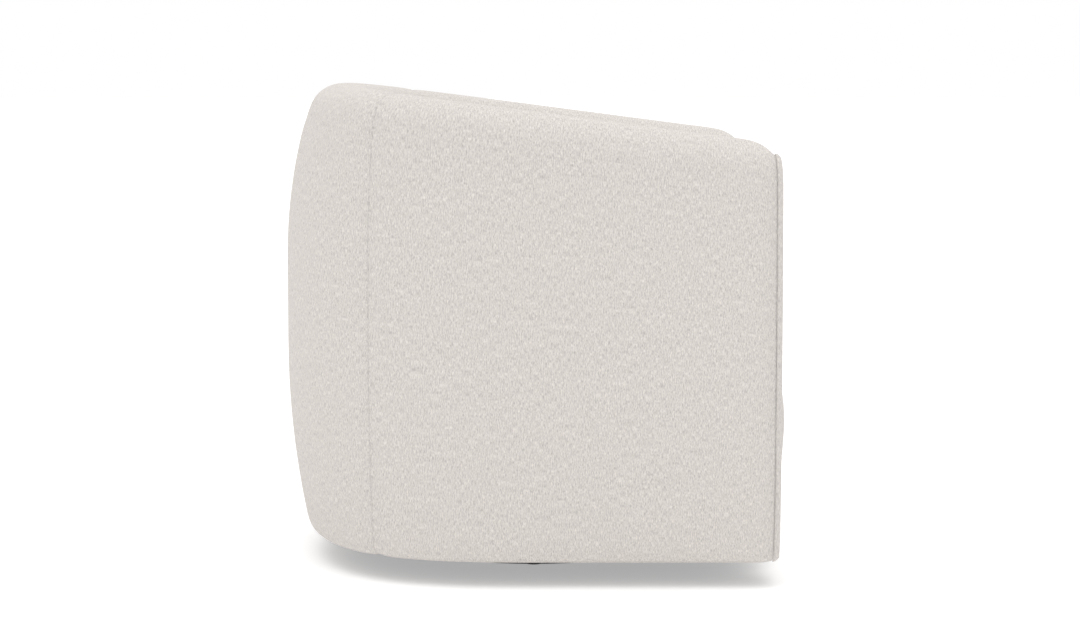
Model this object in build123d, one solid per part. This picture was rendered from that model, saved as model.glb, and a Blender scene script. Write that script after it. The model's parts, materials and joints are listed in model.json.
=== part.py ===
from build123d import *

import os
from collections import namedtuple
from math import atan, cos, degrees, pi, radians, sin, sqrt, tan

# Upholstered swivel tub chair, in millimetres.
# The origin is on the floor, on the swivel axis. +Z is up and the chair faces -Y.
# Right and left are the sitter's: the right arm is at -X.

# Overall sizes
OVERALL_WIDTH = 840.0
OVERALL_DEPTH = 810.0
OVERALL_HEIGHT = 762.0

# Plan of the padded wall that makes the arms and the back
PLAN_POWER = 2.6  # exponent of the rounded outline: 2 is an ellipse, more is squarer
SEAM_TURN = 32.0  # degrees that the outline has turned where the back is sewn to the arms
ARM_SETBACK = 30.0  # front of the arms behind the front of the seat
FACING_DEPTH = 11.0  # how far the padded facing stands in front of the arm
CREST_SLOPE = 0.13  # fall of the top of the wall towards the front
NOSE_LENGTH = 55.0  # stretch at the front of the arm where its top rolls down
NOSE_DROP = 16.0

# Upright section of the wall; angles in degrees
HEM_RADIUS = 22.0
HEM_LAP = 10.0  # flat of the hem between its rounding and the frame
BELLY_HEIGHT = 340.0  # below this the outer face tucks in
ARM_TUCK = 1.0
BACK_TUCK = 12.4
LEAN_DEPTH = 282.0  # from the crest down to where the outer face starts to lean in
ARM_LEAN = 4.0
BACK_LEAN = 17.0
CROWN_OUTER = 55.0
CROWN_INNER = 60.0
BACK_RECLINE = 8.7  # slope of the inside of the back; the arms are upright inside
COVER = 2.5  # fabric with its wadding
COVER_GAP = 0.9
HEM_OVERLAP = 3.0  # cover and foam hang below the underside of the bottom board

# Frame inside the wall
FIT = 0.5
CREST_PADDING = 64.0
LINER = 3.0
LINER_FIT = 2.5
FRAME_DEPTH = 46.0
POST_EASE = 6.0  # posts round the back are this much shallower than the frame
POST_WIDTH = 50.0
PLY = 18.0
ARM_POST_PITCH = 165.0
BACK_POST_TURNS = (18.0, 46.0, 74.0)
STRAP_WIDTH = 32.0
STRAP_THICKNESS = 1.5
STRAP_GAP = 1.2
STRAP_TURNS = (38.0, 58.0, 82.0)

# Seat
SEAT_HEIGHT = 442.0
SEAT_CROWN = 12.0
SEAT_FALL = 12.0
SEAT_BOW = 16.0
SEAT_GAP = 3.5
SEAT_NOSE = 110.0
SEAT_NOSE_LEAN = 10.8
SEAT_BELLY_HEIGHT = 250.0
SEAT_TUCK = 4.0
SEAT_HEM = 22.0
SKIRT_LAP = 5.0  # flat of the skirt's hem, where the skirt is thinnest
SEAT_REAR_RADIUS = 25.0
SEAT_END_ROUND = 9.0
SEAT_END_LENGTH = 30.0
SEAT_RING_TOP = 288.0
SPRING_OPENING_WIDTH = 500.0
SPRING_OPENING_REAR = 110.0
SPRING_BORDER = 55.0  # wood in front of the spring opening
OPENING_RADIUS = 30.0
SPRING_COUNT = 5
SPRING_PITCH = 100.0
SPRING_LOOP_WIDTH = 50.0
SPRING_LOOP_PITCH = 22.0
WIRE = 4.0
CLIP_WIDTH = 22.0
CLIP_LENGTH = 16.0
CLIP_HEIGHT = 8.0
WIRE_FIT = 0.15
SPRING_PAD = 4.0
PAD_MARGIN = 12.0
BLOCK_LEG = 45.0
BLOCK_HEIGHT = 40.0

# Base and swivel bearing
BASE_RADIUS = 231.0
BASE_THICKNESS = 21.0
BASE_EDGE = 3.0
GLIDE_HEIGHT = 3.0
GLIDE_RADIUS = 14.0
GLIDE_COUNT = 8
GLIDE_CHAMFER = 0.6
GLIDE_INSET = 26.0
BEARING_HEIGHT = 16.0
PLATE = 2.5
PLATE_WIDTH = 220.0
PLATE_CORNER = 14.0
FIXING_PITCH = 184.0
RACE_RADIUS = 70.0
RACE_WIDTH = 22.0
RACE_HEIGHT = 4.0
BALL = 8.0
BALL_COUNT = 24
BALL_FIT = 0.1
CAGE_WIDTH = 16.0
CAGE_THICKNESS = 2.0
CAGE_FIT = 0.2
PIN_RADIUS = 8.0
PIN_HEAD_RADIUS = 14.0
PIN_HEAD_HEIGHT = 3.0
PIN_FIT = 0.05
BUSH_WALL = 3.0
BUSH_FLANGE_RADIUS = 16.0
BUSH_FLANGE = 2.5
NUT_HEIGHT = 6.0
NUT_GAP = 0.3
HUB_HOLE_RADIUS = 30.0
BOLT_RADIUS = 4.0
BOLT_HEAD_RADIUS = 7.5
BOLT_HEAD_HEIGHT = 4.5
TEE_BARREL_RADIUS = 6.0
TEE_FLANGE_RADIUS = 11.0
TEE_FLANGE = 1.5
HOLE_FIT = 0.1
SCREW_RADIUS = 2.4
SCREW_HEAD_RADIUS = 4.6
SCREW_HEAD_HEIGHT = 2.6
PLATE_SCREW_LENGTH = 16.0
BOARD_SCREW_LENGTH = 50.0
DUST_CLOTH = 1.0
DUST_MARGIN = 6.0
DUST_HOLE_RADIUS = 165.0

# Heights and places that follow from the sizes above
HALF_WIDTH = OVERALL_WIDTH / 2
BACK_REACH = OVERALL_DEPTH / 2
ARM_FRONT = -OVERALL_DEPTH / 2 + ARM_SETBACK + FACING_DEPTH
BASE_TOP = GLIDE_HEIGHT + BASE_THICKNESS
BOARD_BOTTOM = BASE_TOP + BEARING_HEIGHT
BOARD_TOP = BOARD_BOTTOM + PLY
HEM_HEIGHT = BOARD_BOTTOM - HEM_OVERLAP
RING_BOTTOM = SEAT_RING_TOP - PLY
INNER_FOOT = SEAT_RING_TOP + FIT
WIRE_HEIGHT = SEAT_RING_TOP + CLIP_HEIGHT / 2
PAD_BOTTOM = SEAT_RING_TOP + CLIP_HEIGHT + FIT
SEAT_FOAM_BOTTOM = PAD_BOTTOM + SPRING_PAD + FIT
BEARING_MIDDLE = BASE_TOP + BEARING_HEIGHT / 2


def hem_inset(belly_height, radius, tuck):
    """Depth behind the outer face where a tucked and rounded hem turns level."""
    tuck = radians(tuck)
    hem_top = HEM_HEIGHT + radius * (1 - sin(tuck))
    return (belly_height - hem_top) * tan(tuck / 2) + radius * cos(tuck)


# Depths from the outer face to the layers inside the wall, at the arm and at the back
SLOT_OUTER = tuple(hem_inset(BELLY_HEIGHT, HEM_RADIUS, tuck) + HEM_LAP for tuck in (ARM_TUCK, BACK_TUCK))
LINER_OUTER = tuple(depth + LINER_FIT for depth in SLOT_OUTER)
LINER_INNER = tuple(depth + LINER for depth in LINER_OUTER)
FRAME_OUTER = tuple(depth + FIT for depth in LINER_INNER)
FRAME_INNER = tuple(depth + FRAME_DEPTH for depth in FRAME_OUTER)
SLOT_INNER = tuple(depth + LINER + 2 * FIT for depth in FRAME_INNER)
FRAME_MIDDLE = tuple((outer + inner) / 2 for outer, inner in zip(FRAME_OUTER, FRAME_INNER))
FRAME_FRONT = -BACK_REACH + SEAT_BOW + hem_inset(SEAT_BELLY_HEIGHT, SEAT_HEM, SEAT_TUCK) + SKIRT_LAP

RIGHT = -1
LEFT = 1
OUTLINE_TURNS = (0.0, 5.0, 10.0, 17.0, 25.0, SEAM_TURN, 39.0, 46.0, 53.0, 60.0, 69.0, 80.0)
SEAT_SHARES = (0.0, 0.2, 0.4, 0.6, 0.8)  # places of the seat's sections between its middle and its rounded end
SEAT_END_SHARES = (0.0, 0.5, 0.85, 1.0)
FRONT_SHARES = (0.1, 0.27, 0.5, 0.75)
NOSE_SHARES = (0.0, 0.15, 0.35, 0.65, 1.0)
FACING_STEPS = ((0.0, 0.5), (0.6, 2.5), (0.92, 8.0), (1.0, 20.0))  # share of the depth, drawn in by

Station = namedtuple("Station", "x y inward_x inward_y turn drop")


# Plan of the wall


def eased(arm_and_back, turn):
    """A size that passes smoothly from its value at the arm to its value at the back."""
    arm, back = arm_and_back
    return arm + (back - arm) * sin(radians(turn)) ** 2


def back_station(turn, side):
    """The place round the back where the outer outline has turned by an angle from the side."""
    power = PLAN_POWER
    across = (HALF_WIDTH * cos(radians(turn))) ** (1 / (power - 1))
    along = (BACK_REACH * sin(radians(turn))) ** (1 / (power - 1))
    size = (across**power + along**power) ** (1 / power)
    x = side * HALF_WIDTH * across / size
    y = BACK_REACH * along / size
    return Station(x, y, -side * cos(radians(turn)), -sin(radians(turn)), turn, 0.0)


def arm_station(y, side):
    """A place on the straight side of the arm, where the top rolls down near the front."""
    share = max(0.0, 1 - (y - ARM_FRONT) / NOSE_LENGTH)
    return Station(side * HALF_WIDTH, y, -side, 0.0, 0.0, NOSE_DROP * min(share, 1.0) ** 3)


def arm_stations():
    """Places along the right arm, from its front to the seam with the back."""
    nose_end = ARM_FRONT + NOSE_LENGTH
    places = [ARM_FRONT + NOSE_LENGTH * share for share in NOSE_SHARES]
    places += [nose_end * (1 - share) for share in FRONT_SHARES]
    turns = [turn for turn in OUTLINE_TURNS if turn <= SEAM_TURN]
    return [arm_station(y, RIGHT) for y in places] + [back_station(turn, RIGHT) for turn in turns]


def back_stations():
    """Places round the back, from the right seam to the left seam."""
    turns = [turn for turn in OUTLINE_TURNS if turn >= SEAM_TURN]
    right = [back_station(turn, RIGHT) for turn in turns]
    left = [back_station(turn, LEFT) for turn in reversed(turns)]
    return right + [back_station(90.0, RIGHT)] + left


def crest_inset(turn):
    """Depth of the top of the wall behind its outer face."""
    lean = radians(eased((ARM_LEAN, BACK_LEAN), turn))
    rise = LEAN_DEPTH - CROWN_OUTER * (1 - sin(lean))
    return rise * tan(lean / 2) + CROWN_OUTER * cos(lean)


BACK_CREST_Y = BACK_REACH - crest_inset(90.0)


def crest_height(y):
    """Height of the sloping top of the wall."""
    return OVERALL_HEIGHT - CREST_SLOPE * (BACK_CREST_Y - y)


def crest_plane(depth):
    """The sloping plane that lies a depth below the top of the wall."""
    return Plane((0, BACK_CREST_Y, OVERALL_HEIGHT - depth), x_dir=(1, 0, 0), z_dir=(0, -CREST_SLOPE, 1))


# Upright sections


class UprightSection:
    """A section in an upright plane, drawn with insets from the outer face and heights."""

    def __init__(self, station):
        self.station = station

    def place(self, inset, height):
        station = self.station
        return Vector(station.x + inset * station.inward_x, station.y + inset * station.inward_y, height)

    def arc(self, centre, radius, start, end):
        """An arc whose angles, in radians, run from 0 outwards to a quarter turn upwards."""
        angles = (start, (start + end) / 2, end)
        points = [self.place(centre[0] - radius * cos(a), centre[1] + radius * sin(a)) for a in angles]
        return ThreePointArc(*points)


class WallSection(UprightSection):
    """The padded wall, from the hem over the crown and down its inner face."""

    def __init__(self, station):
        super().__init__(station)
        turn = station.turn
        self.tuck = radians(eased((ARM_TUCK, BACK_TUCK), turn))
        self.lean = radians(eased((ARM_LEAN, BACK_LEAN), turn))
        self.recline = radians(eased((0.0, BACK_RECLINE), turn))
        self.crest_inset = crest_inset(turn)
        crest_y = station.y + self.crest_inset * station.inward_y
        self.full_crest = crest_height(crest_y)
        self.crest = self.full_crest - station.drop

    def inner_end(self, offset):
        """Inset and height where the inner crown runs into the inner face."""
        radius = CROWN_INNER - offset
        inset = self.crest_inset + radius * cos(self.recline)
        return inset, self.crest - CROWN_INNER + radius * sin(self.recline)

    def inner_inset(self, offset, height):
        """Inset of the inner face at a height."""
        inset, top = self.inner_end(offset)
        return inset + (top - height) * tan(self.recline)

    def skin(self, offset, hem_end, foot):
        """The outer line moved in by an offset, from the hem to the foot of the inner face."""
        hem_top = HEM_HEIGHT + HEM_RADIUS * (1 - sin(self.tuck))
        tuck_radius = (BELLY_HEIGHT - hem_top) / sin(self.tuck)
        hem_x = hem_inset(BELLY_HEIGHT, HEM_RADIUS, degrees(self.tuck))
        lean_start = self.crest - LEAN_DEPTH
        lean_rise = LEAN_DEPTH - CROWN_OUTER * (1 - sin(self.lean))
        lean_radius = lean_rise / sin(self.lean)
        crest = self.crest_inset
        hem = self.arc((hem_x, HEM_HEIGHT + HEM_RADIUS), HEM_RADIUS - offset, -pi / 2, -self.tuck)
        belly = self.arc((tuck_radius, BELLY_HEIGHT), tuck_radius - offset, -self.tuck, 0)
        shoulder = self.arc((lean_radius, lean_start), lean_radius - offset, 0, self.lean)
        outer = self.arc((crest, self.crest - CROWN_OUTER), CROWN_OUTER - offset, self.lean, pi / 2)
        inner_turn = pi - self.recline
        inner = self.arc((crest, self.crest - CROWN_INNER), CROWN_INNER - offset, pi / 2, inner_turn)
        under = Line(self.place(hem_end, HEM_HEIGHT + offset), hem @ 0)
        upright = Line(belly @ 1, shoulder @ 0)
        face = Line(inner @ 1, self.place(self.inner_inset(offset, foot), foot))
        return [under, hem, belly, upright, shoulder, outer, inner, face]

    def cover(self):
        """The layer of fabric and wadding."""
        hem_end = eased(SLOT_OUTER, self.station.turn)
        outer = self.skin(0.0, hem_end, INNER_FOOT)
        return closed_layer(outer, self.skin(COVER, hem_end, INNER_FOOT))

    def foam(self):
        """The foam under the cover, open below for the frame."""
        turn = self.station.turn
        slot_outer = eased(SLOT_OUTER, turn)
        slot_inner = eased(SLOT_INNER, turn)
        slot_top = self.full_crest - CREST_PADDING
        skin = self.skin(COVER + COVER_GAP, slot_outer, INNER_FOOT)
        corners = [
            skin[-1] @ 1,
            self.place(slot_inner, INNER_FOOT),
            self.place(slot_inner, slot_top),
            self.place(slot_outer, slot_top),
            skin[0] @ 0,
        ]
        return Wire(skin + [Line(a, b) for a, b in zip(corners, corners[1:])])

    def facing(self, offset):
        """The whole end of the arm, drawn in by an offset."""
        foot = HEM_HEIGHT + offset
        middle = self.inner_inset(offset, foot) / 2
        skin = self.skin(offset, middle, foot)
        return Wire(skin + [Line(skin[-1] @ 1, skin[0] @ 0)])


def closed_layer(outer, inner):
    """A closed outline between two lines of edges that run the same way."""
    ends = [Line(outer[-1] @ 1, inner[-1] @ 1), Line(inner[0] @ 0, outer[0] @ 0)]
    return Wire(outer + [ends[0]] + inner[::-1] + [ends[1]])


def inner_wall_y(x, height):
    """How far back the inner face of the wall lies at a distance from the middle plane."""
    low, high = 0.0, 90.0
    for _ in range(50):
        turn = (low + high) / 2
        section = WallSection(back_station(turn, LEFT))
        point = section.place(section.inner_inset(0.0, height), height)
        if point.X > abs(x):
            low = turn
        else:
            high = turn
    return point.Y


SEAT_END = HALF_WIDTH - WallSection(arm_station(0.0, LEFT)).inner_inset(0.0, INNER_FOOT) - SEAT_GAP


class SeatSection(UprightSection):
    """The seat from front to back: a skirt, a rounded nose, the sitting face and the rear."""

    def __init__(self, x):
        bow = SEAT_BOW * (x / SEAT_END) ** 2
        super().__init__(Station(x, -BACK_REACH + bow, 0.0, 1.0, 0.0, 0.0))
        share = max(0.0, (abs(x) - SEAT_END + SEAT_END_LENGTH) / SEAT_END_LENGTH)
        self.end_round = SEAT_END_ROUND * (1 - sqrt(max(0.0, 1 - share**2)))
        self.top = SEAT_HEIGHT - SEAT_CROWN * (x / SEAT_END) ** 2
        self.length = inner_wall_y(x, SEAT_FOAM_BOTTOM) - SEAT_GAP - self.station.y

    def skin(self, extra):
        """The outer line moved in by an offset, from the hem of the skirt to the foot of the rear."""
        offset = self.end_round + extra
        tuck = radians(SEAT_TUCK)
        lean = radians(SEAT_NOSE_LEAN)
        hem_top = HEM_HEIGHT + SEAT_HEM * (1 - sin(tuck))
        tuck_radius = (SEAT_BELLY_HEIGHT - hem_top) / sin(tuck)
        hem_x = hem_inset(SEAT_BELLY_HEIGHT, SEAT_HEM, SEAT_TUCK)
        lean_rise = self.top - SEAT_NOSE * (1 - sin(lean)) - SEAT_BELLY_HEIGHT
        lean_radius = lean_rise / sin(lean)
        nose_x = lean_radius * (1 - cos(lean)) + SEAT_NOSE * cos(lean)
        run = self.length - nose_x - SEAT_REAR_RADIUS
        fall = 2 * atan(SEAT_FALL / run)
        top_radius = run / sin(fall)
        rear_reach = top_radius - SEAT_REAR_RADIUS
        rear_x = nose_x + rear_reach * sin(fall)
        rear_z = self.top - top_radius + rear_reach * cos(fall)
        hem = self.arc((hem_x, HEM_HEIGHT + SEAT_HEM), SEAT_HEM - offset, -pi / 2, -tuck)
        skirt = self.arc((tuck_radius, SEAT_BELLY_HEIGHT), tuck_radius - offset, -tuck, 0)
        front = self.arc((lean_radius, SEAT_BELLY_HEIGHT), lean_radius - offset, 0, lean)
        nose = self.arc((nose_x, self.top - SEAT_NOSE), SEAT_NOSE - offset, lean, pi / 2)
        sitting = self.arc((nose_x, self.top - top_radius), top_radius - offset, pi / 2, pi / 2 + fall)
        rear = self.arc((rear_x, rear_z), SEAT_REAR_RADIUS - offset, pi / 2 + fall, pi)
        under = Line(self.place(self.skirt_inset(), HEM_HEIGHT + offset), hem @ 0)
        end = rear @ 1
        drop = Line(end, Vector(end.X, end.Y, SEAT_FOAM_BOTTOM))
        return [under, hem, skirt, front, nose, sitting, rear, drop]

    def skirt_inset(self):
        """Inset of the face that lies on the front board."""
        return FRAME_FRONT - FIT - self.station.y

    def cover(self):
        return closed_layer(self.skin(0.0), self.skin(COVER))

    def foam(self):
        skin = self.skin(COVER + COVER_GAP)
        corner = self.place(self.skirt_inset(), SEAT_FOAM_BOTTOM)
        return Wire(skin + [Line(skin[-1] @ 1, corner), Line(corner, skin[0] @ 0)])


def seat_sections():
    """Sections across the seat, from right to left."""
    shoulder = SEAT_END - SEAT_END_LENGTH
    left = [shoulder * share for share in SEAT_SHARES]
    left += [shoulder + SEAT_END_LENGTH * share for share in SEAT_END_SHARES]
    return [SeatSection(x) for x in [-x for x in reversed(left[1:])] + left]


# Frame boards


def inset_point(insets, turn, side):
    """A point in plan at a depth inside the outer face, where the outline has turned by an angle."""
    station = back_station(turn, side)
    depth = eased(insets, turn)
    return Vector(station.x + depth * station.inward_x, station.y + depth * station.inward_y)


def inset_plane(insets, turn, side, height):
    """An upright working plane on a line inside the wall, with its X axis square to that line."""
    step = 0.5
    along = inset_point(insets, turn + step, side) - inset_point(insets, turn - step, side)
    inward = Vector(side * -along.Y, side * along.X)
    origin = inset_point(insets, turn, side) + Vector(0, 0, height)
    return Plane(origin, x_dir=inward, z_dir=(0, 0, 1))


def board(insets, front, bottom, thickness):
    """A level board with the plan of the chair, from its front edge round the back."""
    points = [inset_point(insets, turn, RIGHT) for turn in OUTLINE_TURNS + (90.0,)]
    curve = Spline(*points, tangents=[(0, 1), (1, 0)])
    side, middle = points[0], points[-1]
    edges = Polyline((0, middle.Y), (0, front), (side.X, front), (side.X, side.Y))
    half = Pos(0, 0, bottom) * extrude(make_face([curve, edges]), amount=thickness, dir=(0, 0, 1))
    return half + mirror(half, about=Plane.YZ)


def wall_strip(outer, inner, bottom, height):
    """An upright strip that runs along both arms and round the back."""
    strip = board(outer, ARM_FRONT, bottom, height)
    return strip - board(inner, ARM_FRONT - 1, bottom, height)


def standing(length, width, height):
    """A block that stands on the working height."""
    return Box(length, width, height, align=(Align.CENTER, Align.CENTER, Align.MIN))


def post_feet():
    """Where each post stands in plan, and its depth across the wall."""
    feet = []
    for side in (RIGHT, LEFT):
        x = side * (HALF_WIDTH - FRAME_MIDDLE[0])
        for y in (ARM_FRONT + POST_WIDTH / 2, ARM_FRONT + POST_WIDTH / 2 + ARM_POST_PITCH):
            feet.append((Plane((x, y, 0)), FRAME_DEPTH))
        for turn in BACK_POST_TURNS:
            feet.append((inset_plane(FRAME_MIDDLE, turn, side, 0.0), FRAME_DEPTH - POST_EASE))
    return feet


def posts(bottom, height):
    """A set of posts between two levels of the frame."""
    return [foot * Pos(0, 0, bottom) * standing(depth, POST_WIDTH, height) for foot, depth in post_feet()]


def below(solid, depth):
    """The part of a solid that lies under the sloping plane a depth below the crest."""
    return split(solid, bisect_by=crest_plane(depth), keep=Keep.BOTTOM)


RAIL_TOP = CREST_PADDING + 4.0
RAIL_BOTTOM = RAIL_TOP + PLY


def make_frame():
    """The wooden frame from the bottom board up to the top rail."""
    front_board = Pos(0, FRAME_FRONT + PLY / 2, BOARD_TOP) * standing(
        2 * (HALF_WIDTH - FRAME_INNER[0]), PLY, RING_BOTTOM - BOARD_TOP
    )
    seat_ring = board(FRAME_OUTER, FRAME_FRONT, RING_BOTTOM, PLY) - spring_opening()
    rail_blank = wall_strip(FRAME_OUTER, FRAME_INNER, SEAT_RING_TOP, OVERALL_HEIGHT)
    top_rail = split(below(rail_blank, RAIL_TOP), bisect_by=crest_plane(RAIL_BOTTOM), keep=Keep.TOP)
    liner = wall_strip(LINER_OUTER, LINER_INNER, BOARD_TOP, OVERALL_HEIGHT)
    nodes = {
        "bottom_board": make_bottom_board(),
        "lower_posts": lower_posts(),
        "seat_ring": seat_ring,
        "upper_posts": [below(blank, RAIL_BOTTOM) for blank in posts(SEAT_RING_TOP, OVERALL_HEIGHT)],
        "top_rail": top_rail,
        "outer_liner": below(liner, RAIL_TOP),
        "front_board": front_board,
        "corner_blocks": corner_blocks(),
        "back_webbing": back_webbing(),
    }
    for name, side in (("right", RIGHT), ("left", LEFT)):
        nodes[f"{name}_inner_arm_board"] = inner_arm_board(side)
    return nodes


def board_screw_places():
    """Plan position of the screw that holds each lower post."""
    return [(foot.origin.X, foot.origin.Y) for foot, depth in post_feet()]


def make_bottom_board():
    """The board that closes the frame below and is bolted to the swivel."""
    solid = board(FRAME_OUTER, FRAME_FRONT, BOARD_BOTTOM, PLY)
    solid -= Pos(0, 0, BOARD_BOTTOM) * hole(HUB_HOLE_RADIUS, PLY)
    for x, y in fixing_places():
        solid -= Pos(x, y, BOARD_BOTTOM) * hole(TEE_BARREL_RADIUS + HOLE_FIT, PLY)
    for x, y in board_screw_places():
        solid -= Pos(x, y, BOARD_BOTTOM) * hole(SCREW_RADIUS + HOLE_FIT, PLY)
        solid -= Pos(x, y, BOARD_BOTTOM) * hole(SCREW_HEAD_RADIUS + HOLE_FIT, SCREW_HEAD_HEIGHT)
    return solid


def lower_posts():
    """Posts between the bottom board and the seat ring, each with its screw hole."""
    bore = hole(SCREW_RADIUS + HOLE_FIT, BOARD_SCREW_LENGTH + FIT)
    blanks = posts(BOARD_TOP, RING_BOTTOM - BOARD_TOP)
    return [blank - Pos(x, y, BOARD_BOTTOM) * bore for blank, (x, y) in zip(blanks, board_screw_places())]


def spring_opening():
    """The opening in the seat ring that the springs cross."""
    front = FRAME_FRONT + SPRING_BORDER
    length = SPRING_OPENING_REAR - front
    outline = RectangleRounded(SPRING_OPENING_WIDTH, length, OPENING_RADIUS)
    return Pos(0, front + length / 2, RING_BOTTOM) * extrude(outline, amount=PLY, dir=(0, 0, 1))


def corner_blocks():
    """Glued blocks that brace the front board under the seat ring and on the bottom board."""
    blocks = []
    reach = HALF_WIDTH - FRAME_INNER[0]
    front = FRAME_FRONT + PLY
    for side in (RIGHT, LEFT):
        corners = [(side * reach, front), (side * (reach - BLOCK_LEG), front), (side * reach, front + BLOCK_LEG)]
        block = extrude(make_face(Polyline(*corners, close=True)), amount=BLOCK_HEIGHT, dir=(0, 0, 1))
        blocks += [Pos(0, 0, bottom) * block for bottom in (BOARD_TOP, RING_BOTTOM - BLOCK_HEIGHT)]
    return blocks


def inner_arm_board(side):
    """Thin board on the sitter's side of the arm posts."""
    near = HALF_WIDTH - FRAME_INNER[0] - FIT
    panel = Pos(side * (near - LINER / 2), ARM_FRONT, SEAT_RING_TOP) * Box(
        LINER, -ARM_FRONT, OVERALL_HEIGHT, align=(Align.CENTER, Align.MIN, Align.MIN)
    )
    return below(panel, RAIL_TOP)


def back_webbing():
    """Upright straps that carry the inside of the back."""
    straps = []
    depth = tuple(inset + STRAP_GAP + STRAP_THICKNESS / 2 for inset in FRAME_INNER)
    for side in (RIGHT, LEFT):
        for turn in STRAP_TURNS:
            plane = inset_plane(depth, turn, side, SEAT_RING_TOP)
            straps.append(below(plane * standing(STRAP_THICKNESS, STRAP_WIDTH, OVERALL_HEIGHT), RAIL_TOP))
    return straps


# Seat springs


def spring_rows():
    """Distance of each spring from the middle plane."""
    return [SPRING_PITCH * (i - (SPRING_COUNT - 1) / 2) for i in range(SPRING_COUNT)]


def spring_path(x):
    """A flat zigzag of wire from the front clip to the rear clip."""
    front = FRAME_FRONT + SPRING_BORDER - CLIP_LENGTH
    rear = SPRING_OPENING_REAR + CLIP_LENGTH
    lead = 2 * CLIP_LENGTH
    loops = int((rear - front - 2 * lead) / SPRING_LOOP_PITCH / 2) * 2
    start = (front + rear - loops * SPRING_LOOP_PITCH) / 2
    points = [(x, front), (x, start)]
    half = SPRING_LOOP_WIDTH / 2
    for i in range(loops):
        swing = half if i % 2 == 0 else -half
        y = start + SPRING_LOOP_PITCH * i
        points += [(x + swing, y), (x + swing, y + SPRING_LOOP_PITCH)]
    points += [(x, start + SPRING_LOOP_PITCH * loops), (x, rear)]
    radius = 0.48 * SPRING_LOOP_PITCH
    return Pos(0, 0, WIRE_HEIGHT) * FilletPolyline(*points, radius=radius)


def make_springs():
    """Zigzag seat springs with a clip at each end."""
    springs = []
    clips = []
    for x in spring_rows():
        path = spring_path(x)
        section = Plane(path @ 0, z_dir=path % 0) * Circle(WIRE / 2)
        springs.append(sweep(section, path=path))
        for end in (path @ 0, path @ 1):
            seat = Pos(end.X, end.Y, SEAT_RING_TOP)
            block = standing(CLIP_WIDTH, CLIP_LENGTH, CLIP_HEIGHT)
            bore = Pos(0, 0, CLIP_HEIGHT / 2) * Rot(90, 0, 0) * Cylinder(WIRE / 2 + WIRE_FIT, 2 * CLIP_LENGTH)
            clips.append(seat * (block - bore))
    return {"seat_springs": springs, "spring_clips": clips}


def make_spring_pad():
    """Felt between the springs and the seat foam."""
    insets = tuple(
        WallSection(back_station(turn, LEFT)).inner_inset(0.0, PAD_BOTTOM) + PAD_MARGIN for turn in (0.0, 90.0)
    )
    return board(insets, FRAME_FRONT, PAD_BOTTOM, SPRING_PAD)


# Upholstery


def make_upholstery():
    """Foam and cover of the arms, the back and the seat, and the padded facings."""
    nodes = {}
    arm = [WallSection(station) for station in arm_stations()]
    nodes["right_arm_foam"] = Solid.make_loft([section.foam() for section in arm])
    nodes["right_arm_cover"] = Solid.make_loft([section.cover() for section in arm])
    nodes["right_arm_facing"] = arm_facing()
    for right in list(nodes):
        nodes[right.replace("right", "left")] = mirror(nodes[right], about=Plane.YZ)
    back = [WallSection(station) for station in back_stations()]
    nodes["back_foam"] = Solid.make_loft([section.foam() for section in back])
    nodes["back_cover"] = Solid.make_loft([section.cover() for section in back])
    seat = seat_sections()
    nodes["seat_foam"] = Solid.make_loft([section.foam() for section in seat])
    nodes["seat_cover"] = Solid.make_loft([section.cover() for section in seat])
    return nodes


def arm_facing():
    """The padded panel that closes the front of the right arm."""
    wires = []
    for share, offset in FACING_STEPS:
        station = arm_station(ARM_FRONT - FACING_DEPTH * share, RIGHT)
        wires.append(WallSection(station).facing(offset))
    return Solid.make_loft(wires)


# Base and swivel bearing


def hole(radius, height):
    """A round cutter that stands on the working height."""
    return Cylinder(radius, height, align=(Align.CENTER, Align.CENTER, Align.MIN))


def ring(outer, inner, height):
    return hole(outer, height) - hole(inner, height)


def fixing_places():
    """The four fixings of each swivel plate."""
    half = FIXING_PITCH / 2
    return [(x, y) for x in (-half, half) for y in (-half, half)]


def swivel_plate(fixing_radius, hub_radius):
    """A square steel plate with its ball race on top."""
    blank = RectangleRounded(PLATE_WIDTH, PLATE_WIDTH, PLATE_CORNER)
    plate = extrude(blank, amount=PLATE, dir=(0, 0, 1)) - hole(hub_radius, PLATE)
    for x, y in fixing_places():
        plate -= Pos(x, y, 0) * hole(fixing_radius, PLATE)
    race = Pos(0, 0, PLATE) * ring(RACE_RADIUS + RACE_WIDTH / 2, RACE_RADIUS - RACE_WIDTH / 2, RACE_HEIGHT)
    groove = Pos(0, 0, BEARING_HEIGHT / 2) * Torus(RACE_RADIUS, BALL / 2 + BALL_FIT)
    return plate + (race - groove)


def screw(length):
    """A flat-headed screw that points down, with its head above the working height."""
    head = hole(SCREW_HEAD_RADIUS, SCREW_HEAD_HEIGHT)
    shank = Pos(0, 0, -length) * hole(SCREW_RADIUS, length)
    return head + shank


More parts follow.
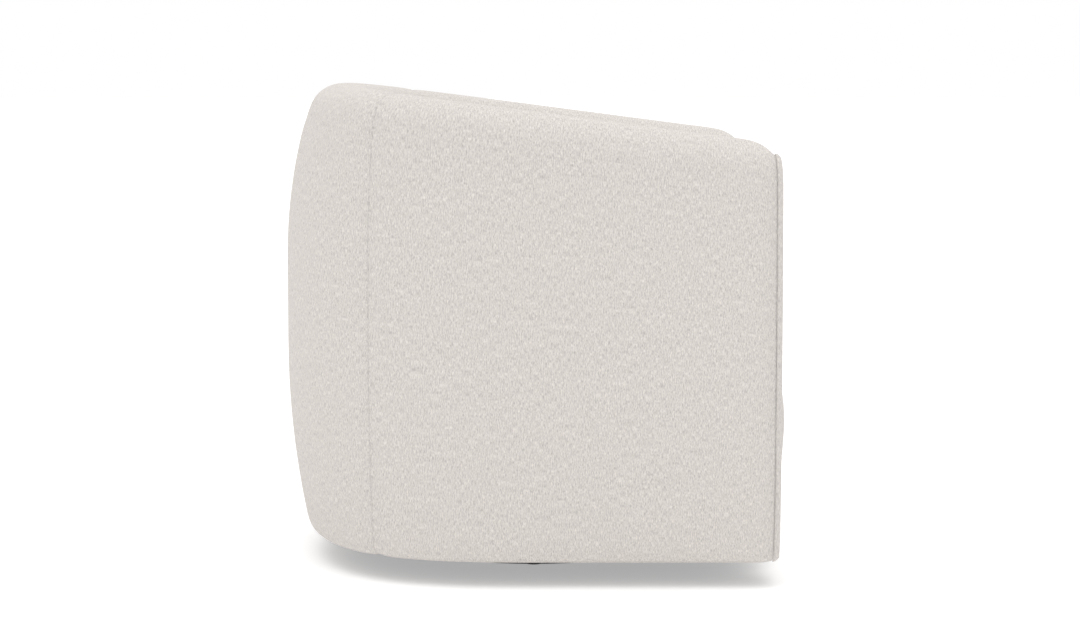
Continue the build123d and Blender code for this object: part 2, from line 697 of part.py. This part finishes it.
def make_base():
    """The round base on its glides, with the lower plate and the pivot pin."""
    disc = Pos(0, 0, GLIDE_HEIGHT) * hole(BASE_RADIUS, BASE_THICKNESS)
    rims = disc.edges().filter_by(GeomType.CIRCLE)
    disc = fillet(rims, radius=BASE_EDGE)
    recess = PIN_HEAD_HEIGHT + FIT
    disc -= Pos(0, 0, BASE_TOP - recess) * hole(PIN_HEAD_RADIUS + FIT, recess)
    for x, y in fixing_places():
        disc -= Pos(x, y, BASE_TOP - PLATE_SCREW_LENGTH) * hole(SCREW_RADIUS + HOLE_FIT, PLATE_SCREW_LENGTH)
    glide = chamfer(hole(GLIDE_RADIUS, GLIDE_HEIGHT).edges().group_by(Axis.Z)[0], length=GLIDE_CHAMFER)
    glides = PolarLocations(BASE_RADIUS - GLIDE_INSET, GLIDE_COUNT) * glide
    plate = Pos(0, 0, BASE_TOP) * swivel_plate(SCREW_RADIUS + HOLE_FIT, PIN_RADIUS + HOLE_FIT)
    plate_screw = screw(PLATE_SCREW_LENGTH)
    screws = [Pos(x, y, BASE_TOP + PLATE) * plate_screw for x, y in fixing_places()]
    bush_top = BOARD_BOTTOM + BUSH_FLANGE
    pin_top = bush_top + NUT_GAP + NUT_HEIGHT
    pin = Pos(0, 0, BASE_TOP - PIN_HEAD_HEIGHT) * hole(PIN_HEAD_RADIUS, PIN_HEAD_HEIGHT)
    pin += Pos(0, 0, BASE_TOP) * hole(PIN_RADIUS, pin_top - BASE_TOP)
    nut_blank = extrude(RegularPolygon(PIN_HEAD_RADIUS, 6), amount=NUT_HEIGHT, dir=(0, 0, 1))
    nut = nut_blank - hole(PIN_RADIUS + HOLE_FIT, NUT_HEIGHT)
    return {
        "base_disc": disc,
        "floor_glides": list(glides),
        "lower_swivel_plate": plate,
        "lower_plate_screws": screws,
        "pivot_pin": pin,
        "pivot_nut": Pos(0, 0, bush_top + NUT_GAP) * nut,
    }


def make_cage():
    """The ring of balls between the plates."""
    cage = Pos(0, 0, BEARING_MIDDLE - CAGE_THICKNESS / 2) * ring(
        RACE_RADIUS + CAGE_WIDTH / 2, RACE_RADIUS - CAGE_WIDTH / 2, CAGE_THICKNESS
    )
    places = [Pos(0, 0, BEARING_MIDDLE) * place for place in PolarLocations(RACE_RADIUS, BALL_COUNT)]
    for place in places:
        cage -= place * Cylinder(BALL / 2 + CAGE_FIT, BALL)
    return {"ball_cage": cage, "bearing_balls": [place * Sphere(BALL / 2) for place in places]}


def make_swivel_top():
    """The upper plate with its bush, bolts and tee nuts, and what closes the underside."""
    bush_outer = PIN_RADIUS + PIN_FIT + BUSH_WALL
    plate = Rot(180, 0, 0) * swivel_plate(BOLT_RADIUS + HOLE_FIT, bush_outer + HOLE_FIT)
    barrel = ring(bush_outer, PIN_RADIUS + PIN_FIT, PLATE)
    flange = ring(BUSH_FLANGE_RADIUS, PIN_RADIUS + PIN_FIT, BUSH_FLANGE)
    bolt_head = Pos(0, 0, -BOLT_HEAD_HEIGHT) * extrude(
        RegularPolygon(BOLT_HEAD_RADIUS, 6), amount=BOLT_HEAD_HEIGHT, dir=(0, 0, 1)
    )
    bolt = bolt_head + hole(BOLT_RADIUS, PLATE + PLY + TEE_FLANGE)
    tee = hole(TEE_BARREL_RADIUS, PLY) + Pos(0, 0, PLY) * hole(TEE_FLANGE_RADIUS, TEE_FLANGE)
    tee -= hole(BOLT_RADIUS + HOLE_FIT, PLY + TEE_FLANGE)
    board_screw = Rot(180, 0, 0) * screw(BOARD_SCREW_LENGTH - SCREW_HEAD_HEIGHT)
    cloth = board(
        tuple(depth + DUST_MARGIN for depth in FRAME_OUTER),
        FRAME_FRONT + DUST_MARGIN,
        BOARD_BOTTOM - DUST_CLOTH,
        DUST_CLOTH,
    )
    cloth -= Pos(0, 0, BOARD_BOTTOM - DUST_CLOTH) * hole(DUST_HOLE_RADIUS, DUST_CLOTH)
    return {
        "upper_swivel_plate": Pos(0, 0, BOARD_BOTTOM) * plate,
        "pivot_bush": Pos(0, 0, BOARD_BOTTOM - PLATE) * barrel + Pos(0, 0, BOARD_BOTTOM) * flange,
        "upper_plate_bolts": [Pos(x, y, BOARD_BOTTOM - PLATE) * bolt for x, y in fixing_places()],
        "tee_nuts": [Pos(x, y, BOARD_BOTTOM) * tee for x, y in fixing_places()],
        "board_screws": [
            Pos(x, y, BOARD_BOTTOM + SCREW_HEAD_HEIGHT) * board_screw for x, y in board_screw_places()
        ],
        "dust_cover": cloth,
    }


def all_nodes():
    """Every sub-part by name."""
    nodes = make_base()
    nodes.update(make_cage())
    nodes.update(make_swivel_top())
    nodes.update(make_frame())
    nodes.update(make_springs())
    nodes["spring_pad"] = make_spring_pad()
    nodes.update(make_upholstery())
    return nodes


os.makedirs("parts", exist_ok=True)
for node, shape in all_nodes().items():
    if isinstance(shape, list):
        shape = Compound(children=[Part() + piece for piece in shape])
    export_step(shape, f"parts/{node}.step")
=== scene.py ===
import json
import logging
from dataclasses import dataclass
from enum import Enum
from math import cos, pi, radians, sin, tan
from typing import Any, Callable

import bmesh
import bpy
import numpy as np
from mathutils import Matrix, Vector


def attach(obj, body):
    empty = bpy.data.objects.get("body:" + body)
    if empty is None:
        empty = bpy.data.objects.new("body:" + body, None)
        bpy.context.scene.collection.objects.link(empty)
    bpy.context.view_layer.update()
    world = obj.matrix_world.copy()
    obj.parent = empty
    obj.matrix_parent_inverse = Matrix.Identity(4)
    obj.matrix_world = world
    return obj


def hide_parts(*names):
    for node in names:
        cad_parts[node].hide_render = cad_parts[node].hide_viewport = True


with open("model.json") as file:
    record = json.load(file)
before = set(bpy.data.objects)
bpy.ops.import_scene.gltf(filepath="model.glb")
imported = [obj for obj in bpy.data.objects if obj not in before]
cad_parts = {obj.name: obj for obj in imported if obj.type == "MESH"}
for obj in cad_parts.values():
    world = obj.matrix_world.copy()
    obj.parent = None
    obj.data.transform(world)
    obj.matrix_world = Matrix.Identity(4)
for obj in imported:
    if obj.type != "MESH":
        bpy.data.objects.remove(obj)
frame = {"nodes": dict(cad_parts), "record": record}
log = logging.getLogger("chair")


class Side(Enum):
    """The chair's two arms, by the sign of X."""

    RIGHT = -1
    LEFT = 1


class Socket:
    """A node's output, with arithmetic that adds math nodes."""

    def __init__(self, tree: bpy.types.NodeTree, out: Any) -> None:
        """Keeps the tree and the output socket."""
        self.tree, self.out = tree, out

    def node(self, kind: str, settings: dict[str, Any], inputs: dict[Any, Any], output: Any = 0) -> "Socket":
        """Adds one node.

        Args:
            kind: The node's type name.
            settings: Attributes to set on the node.
            inputs: Input name or index to a value or a Socket.
            output: The output to return, by name or index.

        Returns:
            The chosen output, wrapped.
        """
        made = self.tree.nodes.new(kind)
        for key, value in settings.items():
            setattr(made, key, value)
        for key, value in inputs.items():
            if isinstance(value, Socket):
                self.tree.links.new(value.out, made.inputs[key])
            else:
                made.inputs[key].default_value = value
        return Socket(self.tree, made.outputs[output])

    def math(self, operation: str, first: Any, second: Any) -> "Socket":
        """A math node on two values or sockets."""
        return self.node("ShaderNodeMath", {"operation": operation}, {0: first, 1: second})

    def __add__(self, other: Any) -> "Socket":
        """Sum."""
        return self.math("ADD", self, other)

    def __radd__(self, other: Any) -> "Socket":
        """Sum, reflected."""
        return self.math("ADD", other, self)

    def __sub__(self, other: Any) -> "Socket":
        """Difference."""
        return self.math("SUBTRACT", self, other)

    def __rsub__(self, other: Any) -> "Socket":
        """Difference, reflected."""
        return self.math("SUBTRACT", other, self)

    def __mul__(self, other: Any) -> "Socket":
        """Product."""
        return self.math("MULTIPLY", self, other)

    def __rmul__(self, other: Any) -> "Socket":
        """Product, reflected."""
        return self.math("MULTIPLY", other, self)

    def noise(self, scale: tuple[float, float, float], detail: float = 3.0) -> "Socket":
        """Noise from -0.5 to 0.5 on this vector, stretched by scale."""
        place = self.node("ShaderNodeVectorMath", {"operation": "MULTIPLY"}, {0: self, 1: scale})
        return self.node("ShaderNodeTexNoise", {}, {"Vector": place, "Scale": 1.0, "Detail": detail}) - 0.5

    def ramp(self, low: float, high: float) -> "Socket":
        """This value mapped from low..high to a smooth 0..1."""
        settings = {"interpolation_type": "SMOOTHSTEP"}
        return self.node("ShaderNodeMapRange", settings, {0: self, 1: low, 2: high, 3: 0.0, 4: 1.0})


@dataclass(frozen=True)
class Finish:
    """A solid material: a base colour with stretched grain."""

    name: str
    color: tuple[float, float, float]
    roughness: float
    grain: tuple[float, float, float]
    contrast: float
    relief: float
    metallic: float = 0.0
    glow: float = 0.0

    def shade(self, start: Socket) -> tuple[Socket, Socket]:
        """Varies the finish by object coordinates.

        Args:
            start: Any socket of the material.

        Returns:
            The brightness factor and the height.
        """
        place = start.node("ShaderNodeTexCoord", {}, {}, "Object")
        grain = place.noise(self.grain)
        return 1.0 + grain * self.contrast + place.noise((9.0, 9.0, 9.0)) * (self.contrast * 0.5), grain

    def paint(self) -> bpy.types.Material:
        """Makes the material.

        Returns:
            The finished material.
        """
        material = bpy.data.materials.new(self.name)
        material.use_nodes = True
        tree = material.node_tree
        surface = tree.nodes["Principled BSDF"]
        start = Socket(tree, surface.outputs[0])
        factor, height = self.shade(start)
        color = start.node("ShaderNodeVectorMath", {"operation": "SCALE"}, {0: self.color, "Scale": factor})
        relief = {"Height": height, "Distance": self.relief, "Strength": 0.6}
        bump = start.node("ShaderNodeBump", {}, relief, "Normal")
        tree.links.new(color.out, surface.inputs["Base Color"])
        tree.links.new(bump.out, surface.inputs["Normal"])
        tree.links.new((self.roughness + height * 0.1).out, surface.inputs["Roughness"])
        surface.inputs["Metallic"].default_value = self.metallic
        surface.inputs["Emission Color"].default_value = (1.0, 1.0, 1.0, 1.0)
        surface.inputs["Emission Strength"].default_value = self.glow
        return material


@dataclass(frozen=True)
class Cloth(Finish):
    """Woven slub cloth with drawn seams darkened by painted shade, on the piece's own UV and edge distance.
    """

    # painted shade: how much the colour is darkened along the seam lines
    painted_seam_shade: float = 0.11

    def shade(self, start: Socket) -> tuple[Socket, Socket]:
        """Adds streaks along the warp, a fine weave, and puckered seam lines darkened by painted shade.

        Args:
            start: Any socket of the material.

        Returns:
            The brightness factor and the height.
        """
        place = start.node("ShaderNodeUVMap", {"uv_map": "UVMap"}, {})
        edge = start.node("ShaderNodeAttribute", {"attribute_name": "edge"}, {}, "Fac")
        slubs = place.noise((600.0, 100.0, 1.0), 2.0)
        threads = place.noise((1000.0, 260.0, 1.0), 1.0)
        patches = place.noise((60.0, 16.0, 1.0), 2.0)
        # painted shade: the colour is darkened along each seam line, standing in for the shade in the seam's
        # groove
        seam = 1.0 - edge.ramp(0.0003, 0.0024)
        near = 1.0 - edge.ramp(0.002, 0.022)
        puckers = place.noise((40.0, 150.0, 1.0), 1.0) * near
        factor = 1.0 + slubs * self.contrast + threads * 0.85 + patches * 0.05 - seam * self.painted_seam_shade
        return factor, slubs * 0.35 + threads * 0.40 + puckers * 1.8


FABRIC = Cloth("upholstery_fabric", (0.640, 0.603, 0.570), 0.92, (1.0, 1.0, 1.0), 0.85, 0.0040)
HIDDEN: tuple[Finish, ...] = (
    Finish("foam", (0.80, 0.72, 0.50), 0.95, (400.0, 400.0, 400.0), 0.25, 0.0006),
    Finish("black_base", (0.012, 0.012, 0.013), 0.45, (160.0, 160.0, 160.0), 0.30, 0.0002),
    Finish("steel", (0.55, 0.56, 0.57), 0.34, (30.0, 700.0, 30.0), 0.18, 0.00005, 1.0),
    Finish("plywood", (0.60, 0.44, 0.27), 0.62, (14.0, 160.0, 260.0), 0.45, 0.0002),
    Finish("hardboard", (0.28, 0.18, 0.10), 0.66, (300.0, 300.0, 300.0), 0.35, 0.0002),
    Finish("nylon", (0.05, 0.05, 0.055), 0.50, (500.0, 500.0, 500.0), 0.25, 0.0001),
    Finish("felt", (0.30, 0.30, 0.31), 0.97, (250.0, 250.0, 250.0), 0.50, 0.0008),
    Finish("webbing", (0.05, 0.05, 0.05), 0.90, (900.0, 900.0, 120.0), 0.60, 0.0005),
    Finish("black_cloth", (0.02, 0.02, 0.02), 0.95, (700.0, 700.0, 700.0), 0.60, 0.0003),
)


@dataclass
class Wall:
    """The sweep of arms and back: its plan and its upright section, in metres."""

    half_width: float = 0.420
    half_depth: float = 0.4005
    power: float = 2.6
    front: float = -0.364
    height: float = 0.762
    back_crest: float = 0.3161
    slope: float = 0.13
    hem: float = 0.037
    hem_radius: float = 0.022
    belly: float = 0.340
    shoulder: float = 0.282
    crown: float = 0.055
    inner_crown: float = 0.060
    foot: float = 0.2885
    points: int = 116

    def station(self, path: float) -> tuple[Vector, Vector, float]:
        """A place on the right half's plan.

        Args:
            path: Metres along Y while negative, else degrees of turn.

        Returns:
            The outline's point, the way inward, and the turn in radians.
        """
        turn = radians(max(path, 0.0))
        reach = 1.0 / (self.power - 1.0)
        across = (self.half_width * cos(turn)) ** reach if turn < pi / 2 - 1e-6 else 0.0
        along = (self.half_depth * sin(turn)) ** reach
        size = (across**self.power + along**self.power) ** (1.0 / self.power)
        x, y = -self.half_width * across / size, self.half_depth * along / size + min(path, 0.0)
        return Vector((x, y, 0.0)), Vector((cos(turn), -sin(turn), 0.0)), turn

    def section(self, path: float, sunk: float = 0.0, foot: float | None = None) -> np.ndarray:
        """The upright section at a station, evenly spaced from the hem over the crown to the inner foot.

        Args:
            path: The station, as in station().
            sunk: Metres that the surface lies below the full shape.
            foot: Height of the inner face's lower end.

        Returns:
            Points as rows of X, Y, Z.
        """
        point, inward, turn = self.station(path)
        share = sin(turn) ** 2
        angles = ((1.0, 12.4), (4.0, 17.0), (0.001, 8.7))
        tuck, lean, recline = (radians(arm + (back - arm) * share) for arm, back in angles)
        crest_in = (self.shoulder - self.crown * (1 - sin(lean))) * tan(lean / 2) + self.crown * cos(lean)
        crest = self.height - self.slope * (self.back_crest - (point + inward * crest_in).y)
        crest -= 0.016 * max(0.0, 1.0 - (min(path, 0.0) - self.front) / 0.055) ** 3
        hem_top = self.hem + self.hem_radius * (1 - sin(tuck))
        low = (self.belly - hem_top) / sin(tuck)
        hem_x = (self.belly - hem_top) * tan(tuck / 2) + self.hem_radius * cos(tuck)
        high = (self.shoulder - self.crown * (1 - sin(lean))) / sin(lean)
        arcs = (
            (hem_x, self.hem + self.hem_radius, self.hem_radius, -pi / 2, -tuck),
            (low, self.belly, low, -tuck, 0.0),
            (high, crest - self.shoulder, high, 0.0, lean),
            (crest_in, crest - self.crown, self.crown, lean, pi / 2),
            (crest_in, crest - self.inner_crown, self.inner_crown, pi / 2, pi - recline),
        )
        chain = [
            (x - (r - sunk) * cos(a), z + (r - sunk) * sin(a))
            for x, z, r, first, last in arcs
            for a in np.linspace(first, last, 24)
        ]
        end = self.foot if foot is None else foot
        chain.append((chain[-1][0] + (chain[-1][1] - end) * tan(recline), end))
        flat = even(np.array(chain), self.points)
        return np.array([(*(point + inward * x)[:2], z) for x, z in flat])

    def inner_line(self) -> np.ndarray:
        """X and Y of the inner face near the seat's top, by rising X, on the right half."""
        rows = [self.section(float(turn)) for turn in range(0, 91, 3)]
        return np.array([row[np.argmin(abs(row[60:, 2] - 0.40)) + 60][:2] for row in rows])


def even(chain: np.ndarray, count: int) -> np.ndarray:
    """Spaces a chain of points evenly.

    Args:
        chain: Points as rows.
        count: How many points to return.

    Returns:
        The evenly spaced points.
    """
    along = np.concatenate([[0.0], np.cumsum(np.linalg.norm(np.diff(chain, axis=0), axis=1))])
    wanted = np.linspace(0.0, along[-1], count)
    return np.stack([np.interp(wanted, along, chain[:, k]) for k in range(chain.shape[1])], axis=1)


@dataclass
class Panel:
    """One sewn and padded panel of the cover."""

    name: str
    nodes: tuple[str, ...]
    core: tuple[float, float, float]
    fill: float = 0.85
    swell: float = 0.0010

    def grid(self, rows: list[np.ndarray], edges: list[float], closed: bool = False) -> bpy.types.Object:
        """Makes the panel's mesh from a grid.

        Args:
            rows: One row of points for each station.
            edges: Each row's distance from the nearest seam.
            closed: Whether the last row meets itself and is sewn shut.

        Returns:
            The new object.
        """
        points = np.array(rows)
        path = np.cumsum(np.r_[0.0, np.linalg.norm(np.diff(points, axis=0), axis=2).max(axis=1)])
        rise = np.cumsum(np.r_[0.0, np.linalg.norm(np.diff(points[len(points) // 2], axis=0), axis=1)])
        last, top = points.shape[0] - 1, points.shape[1] - 1
        bm = bmesh.new()
        bmesh.ops.create_grid(bm, x_segments=last, y_segments=top, size=1.0)
        edge, uv = bm.verts.layers.float.new("edge"), bm.loops.layers.uv.new("UVMap")
        for face in bm.faces:
            face.smooth = True
            for loop in face.loops:
                i, j = self.cell(loop.vert, last, top)
                loop[uv].uv = (path[i], rise[j])
        for vert in bm.verts:
            i, j = self.cell(vert, last, top)
            vert[edge] = edges[i]
        order = {vert: self.cell(vert, last, top) for vert in bm.verts}
        for vert, (i, j) in order.items():
            vert.co = points[i][j]
        if closed:
            rim = [vert for vert, (i, _) in order.items() if i == last]
            bmesh.ops.remove_doubles(bm, verts=rim, dist=1e-5)
        bmesh.ops.recalc_face_normals(bm, faces=bm.faces)
        core = Vector(self.core)
        if sum(f.normal.dot(f.calc_center_median() - core) * f.calc_area() for f in bm.faces) < 0:
            bmesh.ops.reverse_faces(bm, faces=bm.faces)
        mesh = bpy.data.meshes.new(self.name)
        bm.to_mesh(mesh)
        bm.free()
        piece = bpy.data.objects.new(self.name, mesh)
        bpy.context.scene.collection.objects.link(piece)
        return piece

    @staticmethod
    def cell(vert: bmesh.types.BMVert, last: int, top: int) -> tuple[int, int]:
        """The grid's row and column of a vertex that is still flat."""
        return round((vert.co.x + 1.0) / 2.0 * last), round((vert.co.y + 1.0) / 2.0 * top)

    def settle(self, piece: bpy.types.Object) -> None:
        """Lets the cloth swell under pressure with its borders held, and keeps a small part of it.

        Args:
            piece: The panel's object.
        """
        mesh = piece.data
        rest = [v.co.copy() for v in mesh.vertices]
        border = bmesh.new()
        border.from_mesh(mesh)
        held = [v.index for v in border.verts if v.is_boundary]
        border.free()
        pins = piece.vertex_groups.new(name="held")
        pins.add(held, 1.0, "REPLACE")
        cloth = piece.modifiers.new("swell", "CLOTH")
        cloth.settings.vertex_group_mass = "held"
        cloth.settings.use_pressure = True
        cloth.settings.uniform_pressure_force = 4.0
        cloth.settings.effector_weights.gravity = 0.0
        cloth.settings.quality = 4
        cloth.point_cache.frame_start, cloth.point_cache.frame_end = 1, 20
        for step in range(1, 21):
            bpy.context.scene.frame_set(step)
        shaped = piece.evaluated_get(bpy.context.evaluated_depsgraph_get()).data
        moves = [v.co - rest[v.index] for v in shaped.vertices]
        piece.modifiers.remove(cloth)
        bpy.context.scene.frame_set(1)
        for vert, move in zip(mesh.vertices, moves):
            vert.co = rest[vert.index] + move * min(1.0, self.swell / max(move.length, 1e-9))

    def dress(self, piece: bpy.types.Object, material: bpy.types.Material, soft: bool = True) -> None:
        """Swells, smooths and paints the panel and ties it to the chair.

        Args:
            piece: The panel's object.
            material: The cloth.
            soft: Whether the panel is swelled as cloth.
        """
        if soft:
            self.settle(piece)
        smooth = piece.modifiers.new("smooth", "SUBSURF")
        smooth.levels = smooth.render_levels = 1
        piece.data.materials.append(material)
        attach(piece, "chair")
        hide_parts(*self.nodes)
        log.info("%s: %d faces", self.name, len(piece.data.polygons))


def valley(distance: float, depth: float = 0.0028, width: float = 0.011) -> float:
    """How far a seam draws the cloth in at a distance from it."""
    return depth * float(np.exp(-((distance / width) ** 1.4)))


FACING_STEPS = (
    (0.0, 0.0035), (0.15, 0.0012), (0.4, 0.0008), (0.6, 0.0025), (0.8, 0.005), (0.92, 0.008), (1.0, 0.02),
)
SEAM_STEPS = (0.0, 0.0015, 0.0035, 0.007, 0.012, 0.020)


@dataclass
class Upholstery:
    """All the panels of the chair's cover."""

    wall: Wall
    seam_turn: float = 32.0
    facing_depth: float = 0.011
    arm_depth: float = 0.1229
    seat_end: float = 0.2978
    seat_top: float = 0.442
    corner_radius: float = 0.0012
    foot_draw: float = 0.002
    facing_rise: float = 0.006

    def strip(self, first: float, last: float, mirrored: bool) -> tuple[list[np.ndarray], list[float]]:
        """Sections between two seams of the wall.

        Args:
            first: The first station.
            last: The last station, on the right half.
            mirrored: Whether the strip runs on past the middle of the back to its mirror.

        Returns:
            The rows and each row's distance from its nearest seam.
        """
        stations = [*np.arange(first, 0.0, 0.004), *np.arange(max(first, 0.0), last, 0.5), last]
        middle = np.array([self.wall.section(s)[30] for s in stations])
        along = np.r_[0.0, np.cumsum(np.linalg.norm(np.diff(middle, axis=0), axis=1))]
        total = along[-1] * (2.0 if mirrored else 1.0)
        marks = [m for m in np.arange(0.032, along[-1] - (0.0 if mirrored else 0.026), 0.012)]
        ends = [] if mirrored else [along[-1] - step for step in reversed(SEAM_STEPS)]
        marks = [*SEAM_STEPS, *marks, *(ends or [along[-1]])]
        edges = [min(m, total - m) for m in marks]
        places = [float(np.interp(mark, along, stations)) for mark in marks]
        rows = [self.wall.section(place, valley(edge)) for place, edge in zip(places, edges)]
        if not mirrored:
            rows = [self.front_ease(row, m) for row, m in zip(rows, marks)]
        if mirrored:
            rows += [row * (-1.0, 1.0, 1.0) for row in reversed(rows[:-1])]
            edges += list(reversed(edges[:-1]))
        return rows, edges

    def front_ease(self, row: np.ndarray, reach: float) -> np.ndarray:
        """Rounds an arm's lower front corner: the hem rises and the foot draws back.

        Args:
            row: One section's points.
            reach: Metres behind the front seam.

        Returns:
            The eased points.
        """
        eased = row.copy()
        gap = max(0.0, self.corner_radius - reach)
        rise = 0.85 * (self.corner_radius - (self.corner_radius**2 - gap**2) ** 0.5)
        low = np.clip(1.0 - (row[:, 2] - self.wall.hem) / 0.16, 0.0, 1.0)
        eased[:, 2] += rise * low
        eased[:, 1] += self.foot_draw * low**2 * max(0.0, 1.0 - reach / 0.09)
        return eased

    def arm(self, side: Side) -> tuple[Panel, bpy.types.Object]:
        """One arm's panel, from its facing to the seam at the back's corner.

        Args:
            side: Which arm.

        Returns:
            The panel and its object.
        """
        word = side.name.lower()
        rows, edges = self.strip(self.wall.front, self.seam_turn, False)
        nodes = (f"{word}_arm_cover", f"{word}_arm_foam")
        panel = Panel(f"{word}_arm_panel", nodes, (side.value * 0.36, -0.05, 0.40))
        return panel, panel.grid([row * (-side.value, 1.0, 1.0) for row in rows], edges)

    def back(self) -> tuple[Panel, bpy.types.Object]:
        """The back's panel, between the two corner seams."""
        panel = Panel("back_panel", ("back_cover", "back_foam"), (0.0, 0.30, 0.40))
        return panel, panel.grid(*self.strip(self.seam_turn, 90.0, True))

    def facing(self, side: Side) -> tuple[Panel, bpy.types.Object]:
        """The shallow padded front of an arm.

        Args:
            side: Which arm.

        Returns:
            The panel and its object.
        """
        word = side.name.lower()
        rows = []
        for share, sunk in FACING_STEPS:
            row = self.wall.section(self.wall.front, sunk, self.wall.hem + 0.001)
            outer = row[: len(row) // 3, 2]
            outer -= 0.9 * sunk * np.clip(1.0 - (outer - outer[0]) / 0.05, 0.0, 1.0)
            low = np.clip(1.0 - (row[:, 2] - self.wall.hem) / 0.08, 0.0, 1.0)
            row[:, 2] += self.facing_rise * share**2 * low
            row[:, 0] = np.minimum(row[:, 0], -self.wall.half_width + self.arm_depth - 0.3 * sunk)
            row[:, 1] = self.wall.front - self.facing_depth * share
            rows.append(self.front_ease(row, 0.0) * (-side.value, 1.0, 1.0))
        rim = rows[-1]
        middle = (rim + rim[::-1]) / 2.0
        for share in (0.3, 0.65, 1.0):
            rows.append(rim + (middle - rim) * share - (0.0, 0.0015 * share, 0.0))
        panel = Panel(f"{word}_facing_panel", (f"{word}_arm_facing",), (side.value * 0.36, -0.360, 0.36))
        edges = [self.facing_depth * share for share, _ in FACING_STEPS]
        return panel, panel.grid(rows, edges + [0.02, 0.04, 0.05], True)

    def seat(self) -> tuple[Panel, bpy.types.Object]:
        """The tight seat, from its front hem over the nose to the back.

        Returns:
            The panel and its object.
        """
        line = self.wall.inner_line()
        rows, edges = [], []
        half = [*SEAM_STEPS, *np.arange(0.032, self.seat_end, 0.012)]
        for x in [*(m - self.seat_end for m in half), 0.0, *(self.seat_end - m for m in reversed(half))]:
            share, edge = abs(x) / self.seat_end, self.seat_end - abs(x)
            sunk = 0.009 * max(0.0, 1.0 - edge / 0.030) ** 2
            front = -0.405 + 0.016 * share**2 + sunk
            top = self.seat_top - 0.012 * share**2 - sunk
            rear = max(float(np.interp(-abs(x), line[:, 0], line[:, 1])), 0.05) - 0.0035
            corners = ((front + 0.05, 0.037, 0.0), (front + 0.0149, 0.037, 0.016), (front, 0.250, 0.25),
                       (front + 0.0366, top, 0.110), (rear, top - 0.012, 0.025), (rear, 0.305, 0.0))
            chain = rounded(corners)
            rows.append(np.array([(x, y, z) for y, z in even(chain, 110)]))
            edges.append(edge)
        core = np.array((0.0, -0.15, 0.24))
        for index, place in ((0, 0), (-1, len(rows) + 1)):
            end = rows[index] + (core - rows[index]) * (0.0, 0.22, 0.22)
            rows.insert(place, end)
            edges.insert(place, 0.03)
        panel = Panel("seat_panel", ("seat_cover", "seat_foam"), (0.0, -0.18, 0.34))
        return panel, panel.grid(rows, edges)

    def build(self, material: bpy.types.Material) -> None:
        """Makes and dresses every panel.

        Args:
            material: The cloth.
        """
        makers: tuple[Callable[[], tuple[Panel, bpy.types.Object]], ...] = (
            lambda: self.arm(Side.RIGHT), lambda: self.arm(Side.LEFT), self.back, self.seat)
        for make in makers:
            panel, piece = make()
            panel.dress(piece, material)
        for side in Side:
            panel, piece = self.facing(side)
            panel.dress(piece, material, soft=False)


def rounded(corners: tuple[tuple[float, float, float], ...]) -> np.ndarray:
    """A chain of lines with rounded corners.

    Args:
        corners: Each corner's two coordinates and its radius.

    Returns:
        The chain's points.
    """
    chain = [np.array(corners[0][:2])]
    for before, here, after in zip(corners, corners[1:], corners[2:]):
        spot = np.array(here[:2])
        ways = [np.array(other[:2]) - spot for other in (before, after)]
        units = [way / np.linalg.norm(way) for way in ways]
        half = np.arccos(np.clip(units[0] @ units[1], -1.0, 1.0)) / 2
        reach = min(here[2] / tan(half), *(np.linalg.norm(way) * 0.49 for way in ways))
        for t in np.linspace(0.0, 1.0, 14):
            chain.append(spot + units[0] * reach * (1 - t) ** 2 + units[1] * reach * t**2)
    return np.array([*chain, np.array(corners[-1][:2])])


@dataclass
class Studio:
    """A white floor and surround, soft light and the photo's camera."""

    ambient: float = 0.78
    sun: float = 1.62
    lens: float = 86.9
    camera: tuple[float, float, float] = (-4.3, -0.010, 0.788)
    pitch: float = 5.59

    def build(self) -> None:
        """Makes the floor, the light and the camera."""
        scene = bpy.context.scene
        bm = bmesh.new()
        bmesh.ops.create_grid(bm, x_segments=1, y_segments=1, size=60.0)
        mesh = bpy.data.meshes.new("floor")
        bm.to_mesh(mesh)
        bm.free()
        floor = bpy.data.objects.new("floor", mesh)
        scene.collection.objects.link(floor)
        finish = Finish("floor", (0.74, 0.74, 0.74), 1.0, (3.0, 3.0, 3.0), 0.01, 0.0, glow=0.38)
        mesh.materials.append(finish.paint())
        world = bpy.data.worlds.new("surround")
        scene.world = world
        world.use_nodes = True
        ground = world.node_tree.nodes["Background"]
        start = Socket(world.node_tree, ground.outputs[0])
        seen = start.node("ShaderNodeLightPath", {}, {}, "Is Camera Ray")
        strength = self.ambient + seen * (1.0 - self.ambient)
        ground.inputs["Color"].default_value = (1.0, 1.0, 1.0, 1.0)
        world.node_tree.links.new(strength.out, ground.inputs["Strength"])
        lamp = bpy.data.lights.new("soft_sun", "SUN")
        lamp.energy, lamp.angle = self.sun, radians(75.0)
        light = bpy.data.objects.new("soft_sun", lamp)
        lens = bpy.data.cameras.new("camera")
        lens.lens, lens.sensor_width = self.lens, 36.0
        eye = bpy.data.objects.new("camera", lens)
        eye.location = self.camera
        eye.rotation_euler = (radians(90.0 - self.pitch), 0.0, radians(-90.0))
        for item in (light, eye):
            scene.collection.objects.link(item)
        scene.camera = eye
        scene.view_settings.view_transform = "Standard"


def dress_hardware(cloth: bpy.types.Material) -> None:
    """Paints the CAD nodes that stay, by their material slots.

    Args:
        cloth: The upholstery's material.
    """
    paints = {finish.name: finish.paint() for finish in HIDDEN} | {FABRIC.name: cloth}
    for entry in frame["record"]["subparts"]:
        mesh = frame["nodes"][entry["node"]].data
        for index in range(len(mesh.materials)):
            mesh.materials[index] = paints[entry["material_slot"]]
        log.info("%s: %s", entry["node"], entry["material_slot"])


def main() -> None:
    """Builds the dressed chair and its studio."""
    logging.basicConfig(level=logging.INFO)
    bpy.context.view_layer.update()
    cloth = FABRIC.paint()
    Upholstery(Wall()).build(cloth)
    dress_hardware(cloth)
    Studio().build()


if __name__ == "__main__":
    main()
